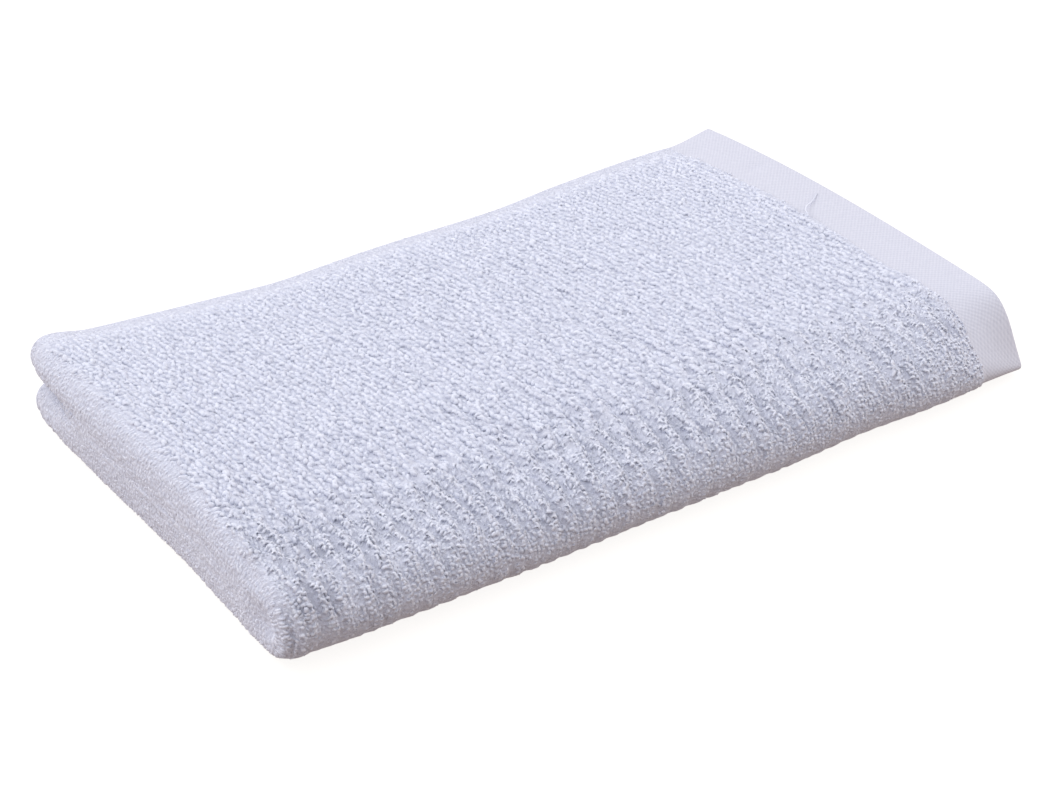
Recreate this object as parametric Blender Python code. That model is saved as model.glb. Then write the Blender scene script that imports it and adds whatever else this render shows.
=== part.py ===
"""Hand towel, folded in half along its length and again across its width.

One length of loop-pile cloth with a flat woven header at each short end and a flat
selvage hem down each long side. The first fold lies at the left end (-X), the second
along the front (-Y), so the pile stands four layers high. Header ends point to +X,
selvages to +Y. Units are metres, +Z is up, and the cloth rests on z = 0.

The solid is one sheet. A grid of points on its middle surface is folded, moved apart
to the two faces of the cloth, and the folded pile is then settled as it lies: thinner
towards the selvages, lofty at the left end, sloping down at the front.
"""

import math

import bmesh
import bpy
import numpy as np

# the cloth as woven
CLOTH_LENGTH = 0.710
CLOTH_WIDTH = 0.420
PILE_THICK = 0.0056          # over the loops of both faces
HEADER_THICK = 0.0024
SELVAGE_THICK = 0.0022
HEADER_WIDTH = 0.019
SELVAGE_WIDTH = 0.0075
PILE_STEP = 0.003            # width in which the pile rises from a flat band

# the fold at the front, seen in a section across the towel
LAYER_GAP = 0.0018
LAYER_PITCH = PILE_THICK + LAYER_GAP
INNER_TURN = LAYER_PITCH / 2         # radius of the inner layer's middle surface
OUTER_SETBACK = LAYER_PITCH          # the inner fold lies this far behind the outer one
LEFT_SETBACK = 0.0105                # the same at the left end, where the pile is lofty

# the fold at the left end, seen in a section along the towel
NOSE_HEIGHT = 0.0135         # between the two layers where the fold is fullest
NOSE_DEPTH_BACK = 0.0066     # how far the fold's middle surface reaches, back and front
NOSE_DEPTH_FRONT = 0.0046
NOSE_BLEND = (0.050, 0.120)  # distances from the front between which the depth changes

# ends of the layers: the outer sheet is the top and bottom layer, the inner one lies between
OUTER_REACH = 0.3480         # length along X of the outer sheet
INNER_REACH = 0.3455
END_BOW = 0.0028             # the header edge bows out this much half way across
BOW_POWER = 4                # how fast the bow dies away towards the left end
SELVAGE_LINE = {             # distance of each layer's selvage from the front, left and right end
    "outer_top": (0.2045, 0.2145),
    "inner_top": (0.2040, 0.2185),
    "inner_bottom": (0.2035, 0.2080),
    "outer_bottom": (0.2030, 0.2010),
}

# distance between two layers along the towel: the left end is lofty
LOFT_COLUMNS = ("along", "layer_pitch")
LOFT_ROWS = (
    (0.010, NOSE_HEIGHT),
    (0.028, 0.0117),
    (0.058, 0.0102),
    (0.086, 0.0089),
    (0.125, LAYER_PITCH),
    (0.360, LAYER_PITCH),
)

# how the folded pile lies: heights are shares of the evenly folded one
LIE_COLUMNS = ("along", "mid_height", "back_height", "front_drop", "front_reach", "front_line")
LIE_ROWS = (
    (0.000, 0.99, 0.945, 0.16, 0.050, 0.0000),
    (0.040, 0.99, 0.940, 0.18, 0.050, 0.0002),
    (0.100, 1.05, 0.935, 0.18, 0.042, 0.0004),
    (0.160, 1.10, 0.960, 0.17, 0.036, 0.0006),
    (0.225, 1.11, 0.900, 0.17, 0.032, 0.0000),
    (0.262, 1.12, 0.965, 0.20, 0.030, 0.0016),
    (0.300, 1.13, 0.990, 0.28, 0.026, 0.0006),
    (0.326, 1.15, 0.965, 0.48, 0.020, 0.0024),
    (0.352, 1.20, 1.085, 0.74, 0.0132, 0.0046),
)
CROWN_START = 0.110          # from here the pile of layers thins out towards the back
CROWN_POWER = 2.6
CROWN_LIMIT = 1.1            # beyond the top selvage the thinning goes on this far only

# the groove between the two turns of the left end closes towards the front corner
GROOVE_FILL = 0.0044
GROOVE_HEIGHT = 0.0060
GROOVE_DEPTH = 0.011
GROOVE_START = (0.012, 0.030)
GROOVE_SPAN = (0.150, 0.200)

# the left end is drawn in a little between the front corner and the middle
LEFT_DRAW = 0.0016
LEFT_DRAW_PLACE = 0.082
LEFT_DRAW_WIDTH = 0.040
LEFT_DRAW_REACH = 0.060
END_TUCK = 0.0024            # the thin selvages turn in a tighter fold
TUCK_WIDTH = 0.009
TUCK_REACH = 0.020

# the front line's shifts fade within this distance, and ripples run across the front fold
LINE_REACH = 0.070
RIPPLE_HEIGHT = 0.012
RIPPLE_WAVES = (0.037, 0.061)
RIPPLE_REACH = 0.070

# grid of the sheet
OUTER_STEPS = 19
INNER_STEPS = 13
SIDE_STEPS = 11
NOSE_STEPS = 8
TURN_STEPS = 10

COTTON_WHITE = (0.70, 0.73, 0.86, 1.0)
COTTON_ROUGHNESS = 0.95


def smooth(value):
    """Ease from 0 to 1."""
    clipped = np.clip(value, 0.0, 1.0)
    return clipped * clipped * (3.0 - 2.0 * clipped)


def ramp(value, span):
    """Ease from 0 at the first number of span to 1 at the second."""
    return smooth((value - span[0]) / (span[1] - span[0]))


def read_rows(rows, columns, name, along):
    """Read one column of a table at places along the towel, by cubics without overshoot."""
    column = columns.index(name)
    places = np.array([row[0] for row in rows])
    values = np.array([row[column] for row in rows])
    rises = np.diff(values) / np.diff(places)
    slopes = np.zeros(len(places))
    for k in range(1, len(places) - 1):
        if rises[k - 1] * rises[k] > 0.0:
            slopes[k] = 2.0 * rises[k - 1] * rises[k] / (rises[k - 1] + rises[k])
    inside = np.clip(along, places[0], places[-1])
    slot = np.clip(np.searchsorted(places, inside) - 1, 0, len(places) - 2)
    span = places[slot + 1] - places[slot]
    share = (inside - places[slot]) / span
    eased = smooth(share)
    bend_in = share * (1.0 - share) ** 2 * span * slopes[slot]
    bend_out = share ** 2 * (1.0 - share) * span * slopes[slot + 1]
    return values[slot] * (1.0 - eased) + values[slot + 1] * eased + bend_in - bend_out


def band_distances(band, middle_steps, length):
    """Distances from an edge: the flat band, the step up to the pile, then even steps."""
    start = band + PILE_STEP
    even = [start + (length - start) * k / middle_steps for k in range(1, middle_steps + 1)]
    return [0.0, band * 0.5, band, start] + even


def along_grid():
    """Rows along the towel, from the outer header round the left fold to the inner header.

    Each row gives its distance from the header edge and the angle round the left fold,
    +90 degrees in the outer sheet and -90 degrees in the inner one.
    """
    straight = CLOTH_LENGTH / 2 - math.pi * NOSE_HEIGHT / 4
    rows = []
    for distance in band_distances(HEADER_WIDTH, OUTER_STEPS, straight):
        rows.append((distance, math.pi / 2))
    for k in range(1, NOSE_STEPS):
        rows.append((straight, math.pi / 2 - math.pi * k / NOSE_STEPS))
    for distance in reversed(band_distances(HEADER_WIDTH, INNER_STEPS, straight)):
        rows.append((distance, -math.pi / 2))
    return rows, straight


def across_grid():
    """Columns across the towel, from the bottom selvage round the front fold to the top one.

    Each column gives its distance from the selvage and the angle round the front fold,
    -90 degrees below and +90 degrees above.
    """
    straight = CLOTH_WIDTH / 2 - math.pi * LAYER_PITCH / 2
    columns = []
    for distance in band_distances(SELVAGE_WIDTH, SIDE_STEPS, straight):
        columns.append((distance, -math.pi / 2))
    for k in range(1, TURN_STEPS):
        columns.append((straight, -math.pi / 2 + math.pi * k / TURN_STEPS))
    for distance in reversed(band_distances(SELVAGE_WIDTH, SIDE_STEPS, straight)):
        columns.append((distance, math.pi / 2))
    return columns, straight


def selvage_line(side, outer_share, along):
    """Distance of the selvage from the front, for the top (side 1) or bottom (side -1)."""
    level = "top" if side > 0 else "bottom"
    share = along / OUTER_REACH
    outer = np.interp(share, (0.0, 1.0), SELVAGE_LINE["outer_" + level])
    inner = np.interp(share, (0.0, 1.0), SELVAGE_LINE["inner_" + level])
    return inner + (outer - inner) * outer_share


def middle_surface(row, column, along_straight, side_straight):
    """Point of the evenly folded middle surface, before the pile of layers settles."""
    edge_distance, nose_angle = row
    selvage_distance, turn_angle = column
    outer_share = (1.0 + math.sin(nose_angle)) / 2

    # where the row lies along the towel
    reach = INNER_REACH + (OUTER_REACH - INNER_REACH) * outer_share
    back_share = ramp(side_straight - selvage_distance, NOSE_BLEND)
    nose_depth = NOSE_DEPTH_FRONT + (NOSE_DEPTH_BACK - NOSE_DEPTH_FRONT) * back_share
    nose_start = PILE_THICK / 2 + nose_depth
    if abs(nose_angle) < math.pi / 2:
        along = nose_start - nose_depth * math.cos(nose_angle)
    else:
        along = reach - (reach - nose_start) * edge_distance / along_straight

    # the section across the towel at that place
    pitch = float(read_rows(LOFT_ROWS, LOFT_COLUMNS, "layer_pitch", along))
    loft = (pitch - LAYER_PITCH) / (NOSE_HEIGHT - LAYER_PITCH)
    turn = INNER_TURN + pitch * outer_share
    centre_height = PILE_THICK / 2 + INNER_TURN + pitch
    setback = OUTER_SETBACK + (LEFT_SETBACK - OUTER_SETBACK) * loft
    turn_start = PILE_THICK / 2 + setback * (1.0 - outer_share) + turn
    height = centre_height + turn * math.sin(turn_angle)
    if abs(turn_angle) < math.pi / 2:
        across = turn_start - turn * math.cos(turn_angle)
    else:
        line = selvage_line(turn_angle, outer_share, along)
        across = line - (line - turn_start) * selvage_distance / side_straight
    return (along, across, height)


def sheet_thickness(row, column):
    """Thickness of the cloth: full pile inside, thin on the header and the selvage."""
    header = ramp(row[0], (HEADER_WIDTH, HEADER_WIDTH + PILE_STEP))
    selvage = ramp(column[0], (SELVAGE_WIDTH, SELVAGE_WIDTH + PILE_STEP))
    across = SELVAGE_THICK + (PILE_THICK - SELVAGE_THICK) * selvage
    return min(across, HEADER_THICK + (PILE_THICK - HEADER_THICK) * header)


def surface_normals(points):
    """Unit normals of a grid of points, pointing out of the outer sheet."""
    along = np.gradient(points, axis=0)
    across = np.gradient(points, axis=1)
    normals = np.cross(across, along)
    return normals / np.linalg.norm(normals, axis=2, keepdims=True)


def settle(points):
    """Let the evenly folded layers lie as they do: shares of the height, front and ends."""
    along = points[..., 0]
    across = points[..., 1]
    height = points[..., 2]

    # loft of the whole pile of layers
    mid = read_rows(LIE_ROWS, LIE_COLUMNS, "mid_height", along)
    back = read_rows(LIE_ROWS, LIE_COLUMNS, "back_height", along)
    drop = read_rows(LIE_ROWS, LIE_COLUMNS, "front_drop", along)
    reach = read_rows(LIE_ROWS, LIE_COLUMNS, "front_reach", along)
    line = selvage_line(1.0, 1.0, along)
    crown = np.clip((across - CROWN_START) / (line - CROWN_START), 0.0, CROWN_LIMIT)
    crown = crown ** CROWN_POWER
    share = mid + (back - mid) * crown
    share = share * (1.0 - drop * np.exp(-(across / reach) ** 2))
    ripple = sum(np.sin(2 * math.pi * along / wave) for wave in RIPPLE_WAVES)
    share = share * (1.0 + RIPPLE_HEIGHT * ripple * np.exp(-(across / RIPPLE_REACH) ** 2))

    # the front line, the bowed header edge and the groove between the left turns
    front = read_rows(LIE_ROWS, LIE_COLUMNS, "front_line", along)
    new_across = across + front * np.exp(-across / LINE_REACH)
    bow = END_BOW * np.sin(math.pi * np.clip(across / line, 0.0, 1.0))
    bow = bow * (along / OUTER_REACH) ** BOW_POWER
    mid_height = PILE_THICK / 2 + INNER_TURN + NOSE_HEIGHT
    groove = np.exp(-((height - mid_height) / GROOVE_HEIGHT) ** 2 - along / GROOVE_DEPTH)
    fill = GROOVE_FILL * groove * ramp(across, GROOVE_START) * (1.0 - ramp(across, GROOVE_SPAN))
    drawn = LEFT_DRAW * np.exp(-((across - LEFT_DRAW_PLACE) / LEFT_DRAW_WIDTH) ** 2)
    drawn = drawn * np.exp(-along / LEFT_DRAW_REACH)
    drawn = drawn + END_TUCK * np.exp((across - line) / TUCK_WIDTH - along / TUCK_REACH)
    return np.stack([along + bow - fill + drawn, new_across, height * share], axis=-1)


def towel_faces():
    """Points of the outer and inner face of the folded cloth, as two equal grids."""
    rows, along_straight = along_grid()
    columns, side_straight = across_grid()
    middle = np.array([[middle_surface(r, c, along_straight, side_straight) for c in columns]
                       for r in rows])
    thick = np.array([[sheet_thickness(r, c) for c in columns] for r in rows])
    normals = surface_normals(middle)

    # the bottom layer lies flat: its lower face keeps the floor's level in thin bands too
    outer = middle + normals * thick[..., None] / 2
    inner = middle - normals * thick[..., None] / 2
    sink = (PILE_THICK - thick) / 2
    nose = np.array([r[1] for r in rows])[:, None]
    turn = np.array([c[1] for c in columns])[None, :]
    lies_flat = (nose >= math.pi / 2) & (turn <= -math.pi / 2)
    outer[..., 2] -= np.where(lies_flat, sink, 0.0)
    inner[..., 2] -= np.where(lies_flat, sink, 0.0)
    outer[..., 2] = np.where(lies_flat, 0.0, outer[..., 2])
    return settle(outer), settle(inner)


def sheet_mesh(name, outer, inner):
    """Close two equal grids of points into one body with its faces pointing out."""
    count_rows, count_columns = outer.shape[:2]
    mesh = bmesh.new()
    grids = []
    for grid in (outer, inner):
        grids.append([[mesh.verts.new(grid[i, j]) for j in range(count_columns)]
                      for i in range(count_rows)])
    top, bottom = grids
    for i in range(count_rows - 1):
        for j in range(count_columns - 1):
            mesh.faces.new((top[i][j], top[i + 1][j], top[i + 1][j + 1], top[i][j + 1]))
            mesh.faces.new((bottom[i][j], bottom[i][j + 1], bottom[i + 1][j + 1], bottom[i + 1][j]))
    for i in range(count_rows - 1):
        mesh.faces.new((top[i][0], bottom[i][0], bottom[i + 1][0], top[i + 1][0]))
        mesh.faces.new((top[i][-1], top[i + 1][-1], bottom[i + 1][-1], bottom[i][-1]))
    for j in range(count_columns - 1):
        mesh.faces.new((top[0][j], top[0][j + 1], bottom[0][j + 1], bottom[0][j]))
        mesh.faces.new((top[-1][j], bottom[-1][j], bottom[-1][j + 1], top[-1][j + 1]))
    bmesh.ops.recalc_face_normals(mesh, faces=mesh.faces)
    bmesh.ops.triangulate(mesh, faces=mesh.faces)
    data = bpy.data.meshes.new(name)
    mesh.to_mesh(data)
    mesh.free()
    return data


def cotton_material():
    """White cotton, matt."""
    material = bpy.data.materials.new("cotton_terry")
    material.use_nodes = True
    shader = material.node_tree.nodes["Principled BSDF"]
    shader.inputs["Base Color"].default_value = COTTON_WHITE
    shader.inputs["Roughness"].default_value = COTTON_ROUGHNESS
    shader.inputs["Metallic"].default_value = 0.0
    material.diffuse_color = COTTON_WHITE
    return material


def make_towel():
    """The folded towel, with its origin under the middle of its box."""
    outer, inner = towel_faces()
    points = np.concatenate([outer.reshape(-1, 3), inner.reshape(-1, 3)])
    middle = (points.min(axis=0) + points.max(axis=0)) / 2
    shift = np.array([middle[0], middle[1], 0.0])
    data = sheet_mesh("towel", outer - shift, inner - shift)
    data.materials.append(cotton_material())
    data.shade_smooth()
    towel = bpy.data.objects.new("towel", data)
    bpy.context.scene.collection.objects.link(towel)
    return towel


def main():
    for item in list(bpy.data.objects):
        bpy.data.objects.remove(item, do_unlink=True)
    make_towel()


main()
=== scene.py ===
# A white cotton hand towel, folded in half twice and lying flat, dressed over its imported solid.
# The woven ground is one closed sheet; every terry loop on it is a yarn of its own.

import math

import bpy
import numpy as np
from mathutils import Matrix, Vector


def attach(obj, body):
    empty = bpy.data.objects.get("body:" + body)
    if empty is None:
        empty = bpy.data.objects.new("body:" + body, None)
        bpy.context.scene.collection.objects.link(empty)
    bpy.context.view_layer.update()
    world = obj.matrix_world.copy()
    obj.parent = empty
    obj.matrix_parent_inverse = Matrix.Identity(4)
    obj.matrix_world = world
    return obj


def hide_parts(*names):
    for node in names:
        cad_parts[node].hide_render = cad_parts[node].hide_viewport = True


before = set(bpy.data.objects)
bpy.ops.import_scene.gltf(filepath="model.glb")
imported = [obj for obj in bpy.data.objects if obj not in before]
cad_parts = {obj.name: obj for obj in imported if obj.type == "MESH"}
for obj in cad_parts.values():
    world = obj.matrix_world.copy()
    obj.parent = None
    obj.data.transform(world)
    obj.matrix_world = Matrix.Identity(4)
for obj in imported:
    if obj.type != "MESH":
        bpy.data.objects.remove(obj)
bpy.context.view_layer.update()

mm = 0.001
quarterTurn = math.pi / 2


def ease(t):
    t = np.clip(t, 0.0, 1.0)
    return t * t * (3.0 - 2.0 * t)


def ramp(value, start, end):
    return ease((value - start) / (end - start))


def unit(vectors):
    return vectors / np.maximum(np.linalg.norm(vectors, axis=-1, keepdims=True), 1e-9)


def readTable(table, column, place):
    # reads a column of a table at any place by a cubic that never overshoots
    places = np.array(table["along"], dtype=float)
    values = np.array(table[column], dtype=float)
    rises = np.diff(values) / np.diff(places)
    slopes = np.zeros(len(places))
    product = rises[:-1] * rises[1:]
    total = rises[:-1] + rises[1:]
    slopes[1:-1] = np.where(product > 0.0, 2.0 * product / np.where(product > 0.0, total, 1.0), 0.0)
    inside = np.clip(place, places[0], places[-1])
    slot = np.clip(np.searchsorted(places, inside) - 1, 0, len(places) - 2)
    span = places[slot + 1] - places[slot]
    share = (inside - places[slot]) / span
    eased = ease(share)
    bend = share * (1.0 - share) * span * ((1.0 - share) * slopes[slot] - share * slopes[slot + 1])
    return values[slot] * (1.0 - eased) + values[slot + 1] * eased + bend


# The cloth and its folds have the same sizes as in the solid, all in mm.
cloth = {
    "length": 710.0,
    "width": 420.0,
    "pile": 5.6,            # over the loops of both faces
    "header": 2.4,
    "selvage": 2.2,
    "headerWidth": 19.0,
    "selvageWidth": 7.5,
    "pileStep": 3.0,
}

fold = {
    "pitch": 7.4,           # from layer to layer
    "innerTurn": 3.7,
    "outerSetback": 7.4,
    "leftSetback": 10.5,
    "noseHeight": 13.5,     # the lofty fold at the left end
    "noseDepthBack": 6.6,
    "noseDepthFront": 4.6,
    "noseBlend": (50.0, 120.0),
    "furrowPower": 0.35,    # the furrow between the two left folds is closed by their pile
    "furrowSpan": (150.0, 190.0),   # up to here from the front
    "furrowBulge": 1.0,     # how far the closed furrow stands out
    "furrowMeeting": 0.9,   # how far its two sides come together
    "furrowFilling": 0.85,  # how much of the groove's filling they keep
    "outerReach": 348.0,
    "innerReach": 345.5,
    "originAlong": 175.25,  # the part's origin in the fold's own frame
    "originAcross": 109.29,
}

headerEdge = {              # where the loops begin at the outer header, uneven as shown
    "fromFront": [0, 9, 14, 28, 48, 63, 90, 120, 139, 150, 161, 174, 210],
    "edge": [24.5, 25.0, 22.0, 22.2, 21.4, 24.4, 23.4, 23.0, 23.9, 24.4, 25.8, 24.8, 25.0],
    "thickening": 1.8,      # how far before the loops the cloth begins to thicken
}

selvageLine = {             # distance of each layer's selvage from the front, left and right end
    "outerTop": (204.5, 214.5),
    "innerTop": (204.0, 218.5),
    "innerBottom": (203.5, 208.0),
    "outerBottom": (203.0, 201.0),
}

loft = {                    # the layers stand further apart at the left end
    "along": [10, 28, 58, 86, 125, 360],
    "pitch": [13.5, 11.7, 10.2, 8.9, 7.4, 7.4],
}

lie = {                     # how the stack lies: shares of its height, the slope and line of its front
    "along": [0, 40, 100, 160, 225, 262, 300, 326, 352],
    "middle": [0.99, 0.99, 1.05, 1.10, 1.11, 1.12, 1.13, 1.15, 1.20],
    "back": [0.945, 0.94, 0.935, 0.96, 0.90, 0.965, 0.99, 0.965, 1.085],
    "frontDrop": [0.16, 0.18, 0.18, 0.17, 0.17, 0.20, 0.28, 0.48, 0.74],
    "frontReach": [50, 50, 42, 36, 32, 30, 26, 20, 13.2],
    "frontLine": [0.0, 0.2, 0.4, 0.6, 0.0, 1.6, 0.6, 2.4, 4.6],
}

settling = {
    "crownStart": 110.0,
    "crownPower": 2.6,
    "crownLimit": 1.1,
    "endBow": 2.8,
    "bowPower": 4,
    "grooveFill": 4.4,
    "grooveHeight": 6.0,
    "grooveDepth": 11.0,
    "grooveStart": (12.0, 30.0),
    "grooveSpan": (150.0, 200.0),
    "leftDraw": 1.6,
    "leftDrawPlace": 82.0,
    "leftDrawWidth": 40.0,
    "leftDrawReach": 60.0,
    "endTuck": 2.4,
    "tuckWidth": 9.0,
    "tuckReach": 20.0,
    "lineReach": 70.0,
    "rippleHeight": 0.012,
    "rippleWaves": (37.0, 61.0),
    "rippleReach": 70.0,
}

straightAlong = cloth["length"] / 2 - math.pi * fold["noseHeight"] / 4
straightAcross = cloth["width"] / 2 - math.pi * fold["pitch"] / 2
onEndSpan = (straightAlong - 3.0, straightAlong + 8.0)


def selvageAt(isTop, outerShare, along):
    share = along / fold["outerReach"]

    def line(name):
        left, right = selvageLine[name]
        return left + (right - left) * np.clip(share, 0.0, 1.0)

    outer = np.where(isTop, line("outerTop"), line("outerBottom"))
    inner = np.where(isTop, line("innerTop"), line("innerBottom"))
    return inner + (outer - inner) * outerShare


def foldAngles(u, v):
    # u runs from the outer header round the left fold, v from the bottom selvage round the front fold
    nose = (cloth["length"] / 2 - u) / (cloth["length"] / 2 - straightAlong)
    turn = (v - cloth["width"] / 2) / (cloth["width"] / 2 - straightAcross)
    return quarterTurn * np.clip(nose, -1.0, 1.0), quarterTurn * np.clip(turn, -1.0, 1.0)


def furrowClosed(v):
    # 1 where the two left folds touch and their pile closes the furrow, 0 where it opens at the back
    fromSelvage = np.minimum(v, cloth["width"] - v)
    return 1.0 - ramp(selvageLine["innerTop"][0] - fromSelvage, *fold["furrowSpan"])


def foldMiddle(u, v):
    # the evenly folded middle surface
    noseAngle, turnAngle = foldAngles(u, v)
    fromHeader = np.minimum(u, cloth["length"] - u)
    fromSelvage = np.minimum(v, cloth["width"] - v)
    outerShare = (1.0 + np.sin(noseAngle)) / 2
    reach = fold["innerReach"] + (fold["outerReach"] - fold["innerReach"]) * outerShare
    backShare = ramp(straightAcross - fromSelvage, *fold["noseBlend"])
    noseDepth = fold["noseDepthFront"] + (fold["noseDepthBack"] - fold["noseDepthFront"]) * backShare
    noseStart = cloth["pile"] / 2 + noseDepth
    straightRun = reach - (reach - noseStart) * fromHeader / straightAlong
    square = np.where(noseAngle < 0.0, 1.0 - (1.0 - fold["furrowPower"]) * furrowClosed(v), 1.0)
    profile = np.maximum(np.cos(noseAngle), 0.0) ** square
    along = np.where(fromHeader < straightAlong, straightRun, noseStart - noseDepth * profile)
    pitch = readTable(loft, "pitch", along)
    lofted = (pitch - fold["pitch"]) / (fold["noseHeight"] - fold["pitch"])
    turn = fold["innerTurn"] + pitch * outerShare
    setback = fold["outerSetback"] + (fold["leftSetback"] - fold["outerSetback"]) * lofted
    turnStart = cloth["pile"] / 2 + setback * (1.0 - outerShare) + turn
    height = cloth["pile"] / 2 + fold["innerTurn"] + pitch + turn * np.sin(turnAngle)
    line = selvageAt(turnAngle > 0.0, outerShare, along)
    straightSide = line - (line - turnStart) * fromSelvage / straightAcross
    across = np.where(fromSelvage < straightAcross, straightSide, turnStart - turn * np.cos(turnAngle))
    return np.stack([along, across, height], axis=-1)


def loopEdge(v):
    return np.interp(np.abs(v - cloth["width"] / 2), headerEdge["fromFront"], headerEdge["edge"])


def clothThickness(u, v):
    fromHeader = np.minimum(u, cloth["length"] - u)
    fromSelvage = np.minimum(v, cloth["width"] - v)
    start = np.where(u < cloth["length"] / 2, loopEdge(v) - headerEdge["thickening"], cloth["headerWidth"])
    header = ramp(fromHeader, start, start + cloth["pileStep"])
    selvage = ramp(fromSelvage, cloth["selvageWidth"], cloth["selvageWidth"] + cloth["pileStep"])
    across = cloth["selvage"] + (cloth["pile"] - cloth["selvage"]) * selvage
    return np.minimum(across, cloth["header"] + (cloth["pile"] - cloth["header"]) * header)


def settle(points):
    # lets the evenly folded stack lie as it does, as in the solid
    s = settling
    along, across, height = points[..., 0], points[..., 1], points[..., 2]
    middle = readTable(lie, "middle", along)
    back = readTable(lie, "back", along)
    drop = readTable(lie, "frontDrop", along)
    reach = readTable(lie, "frontReach", along)
    line = selvageAt(True, 1.0, along)
    crown = np.clip((across - s["crownStart"]) / (line - s["crownStart"]), 0.0, s["crownLimit"])
    share = middle + (back - middle) * crown ** s["crownPower"]
    share = share * (1.0 - drop * np.exp(-(across / reach) ** 2))
    ripple = sum(np.sin(2 * math.pi * along / wave) for wave in s["rippleWaves"])
    share = share * (1.0 + s["rippleHeight"] * ripple * np.exp(-(across / s["rippleReach"]) ** 2))

    newAcross = across + readTable(lie, "frontLine", along) * np.exp(-across / s["lineReach"])
    bow = s["endBow"] * np.sin(math.pi * np.clip(across / line, 0.0, 1.0))
    bow = bow * np.clip(along / fold["outerReach"], 0.0, 2.0) ** s["bowPower"]
    midHeight = cloth["pile"] / 2 + fold["innerTurn"] + fold["noseHeight"]
    groove = np.exp(-((height - midHeight) / s["grooveHeight"]) ** 2 - along / s["grooveDepth"])
    fill = s["grooveFill"] * groove * ramp(across, *s["grooveStart"]) * (1.0 - ramp(across, *s["grooveSpan"]))
    drawn = s["leftDraw"] * np.exp(-((across - s["leftDrawPlace"]) / s["leftDrawWidth"]) ** 2)
    drawn = drawn * np.exp(-along / s["leftDrawReach"])
    drawn = drawn + s["endTuck"] * np.exp((across - line) / s["tuckWidth"] - along / s["tuckReach"])
    return np.stack([along + bow - fill + drawn, newAcross, height * share], axis=-1)


def foldPoint(u, v, w):
    # a point w from the cloth's middle surface, out of the outer face where w is positive
    step = 0.4              # mm each way to feel the slope
    middle = foldMiddle(u, v)
    alongWay = foldMiddle(u + step, v) - foldMiddle(u - step, v)
    acrossWay = foldMiddle(u, v + step) - foldMiddle(u, v - step)
    normal = unit(np.cross(acrossWay, alongWay))
    point = middle + normal * np.asarray(w)[..., None]
    noseAngle, turnAngle = foldAngles(u, v)
    # the inner half of each left fold fills out to its foremost line and to the middle of the furrow
    closing = furrowClosed(v) * ramp(-noseAngle, 0.0, quarterTurn * 0.5) * (noseAngle > -quarterTurn)
    midHeight = cloth["pile"] / 2 + fold["innerTurn"] + readTable(loft, "pitch", middle[..., 0])
    meeting = closing * ramp(-noseAngle, quarterTurn * 0.3, quarterTurn) * (np.asarray(w) > 0.0)
    point[..., 2] += (midHeight - point[..., 2]) * fold["furrowMeeting"] * meeting
    near = np.exp(-((point[..., 2] - midHeight) / settling["grooveHeight"]) ** 2)
    foremost = foldMiddle(np.full_like(u, cloth["length"] / 2), v)[..., 0] - w
    foremost = foremost + near * (settling["grooveFill"] * fold["furrowFilling"] - fold["furrowBulge"])
    point[..., 0] += (foremost - point[..., 0]) * closing
    flatStart = quarterTurn * 0.6
    liesFlat = ramp(-turnAngle, flatStart, quarterTurn) * ramp(noseAngle, flatStart, quarterTurn)
    point[..., 2] -= (cloth["pile"] - clothThickness(u, v)) / 2 * liesFlat
    settled = settle(point)
    settled[..., 0] -= fold["originAlong"]
    settled[..., 1] -= fold["originAcross"]
    return settled


def surfaceFrame(u, v, w):
    # point, way along the towel, way across it and outward normal on a surface w from the middle
    step = 0.8              # mm
    point = foldPoint(u, v, w)
    alongWay = unit(foldPoint(u + step, v, w) - foldPoint(u - step, v, w))
    acrossWay = foldPoint(u, v + step, w) - foldPoint(u, v - step, w)
    normal = unit(np.cross(acrossWay, alongWay))
    return point, alongWay, np.cross(alongWay, normal), normal


def hexColour(code):
    channels = [int(code[i:i + 2], 16) / 255 for i in (0, 2, 4)]
    return [c / 12.92 if c <= 0.04045 else ((c + 0.055) / 1.055) ** 2.4 for c in channels] + [1.0]


def addNode(tree, kind, settings=None, links=None):
    node = tree.nodes.new(kind)
    for key, value in (settings or {}).items():
        if key in node.inputs.keys() or isinstance(key, int):
            node.inputs[key].default_value = value
        else:
            setattr(node, key, value)
    for key, source in (links or {}).items():
        tree.links.new(source, node.inputs[key])
    return node


def newMaterial(name):
    material = bpy.data.materials.new(name)
    material.use_nodes = True
    return material, material.node_tree, material.node_tree.nodes["Principled BSDF"]


def setFinish(shader, c):
    sockets = {"roughness": "Roughness", "specular": "Specular IOR Level", "sheen": "Sheen Weight",
               "sheenRoughness": "Sheen Roughness"}
    for key, socket in sockets.items():
        if key in c:
            shader.inputs[socket].default_value = c[key]


# Ring-spun cotton in terry loops, bleached and woven uncut: soft lumps, matt, with a faint halo of fibre.
loopCotton = {
    "light": "EAEDF7",
    "shade": "C8CCDA",
    "tones": (0.45, 1.0),   # how far from shade to light the yarns lie
    "fibre": 0.35,          # mm, the fibres that stand off a yarn, drawn as coarse as the render needs
    "bump": 0.12,           # mm
    "roughness": 0.92,
    "specular": 0.15,
    "sheen": 0.25,
    "sheenRoughness": 0.5,
}


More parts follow.
